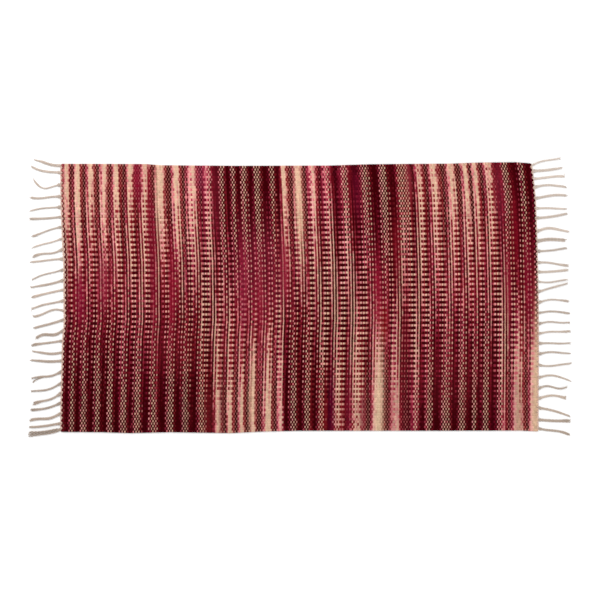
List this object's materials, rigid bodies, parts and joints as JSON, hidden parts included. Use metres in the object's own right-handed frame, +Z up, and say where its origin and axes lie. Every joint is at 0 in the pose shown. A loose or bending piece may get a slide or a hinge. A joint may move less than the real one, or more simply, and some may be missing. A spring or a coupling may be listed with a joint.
{
  "type": "throw rug",
  "caption": "Flat woven throw rug in a variegated space-dyed weft, with ribs along its length and a knotted ecru fringe at both ends.",
  "frame": {"origin": "middle of the box around the whole rug, at the floor it lies on", "axes": "+X along the rug's length, +Y across it, +Z up out of its face"},
  "size_m": [1.2002, 0.617, 0.005],
  "materials": {
    "woven_panel": "matt space-dyed yarn, weft-faced, burgundy to cream",
    "fringe_left": "matt undyed ecru yarn, loosely twisted",
    "fringe_right": "matt undyed ecru yarn, loosely twisted"
  },
  "bodies": {
    "root": {"woven_panel": "woven_panel", "fringe_left": "fringe_left", "fringe_right": "fringe_right"}
  },
  "joints": []
}
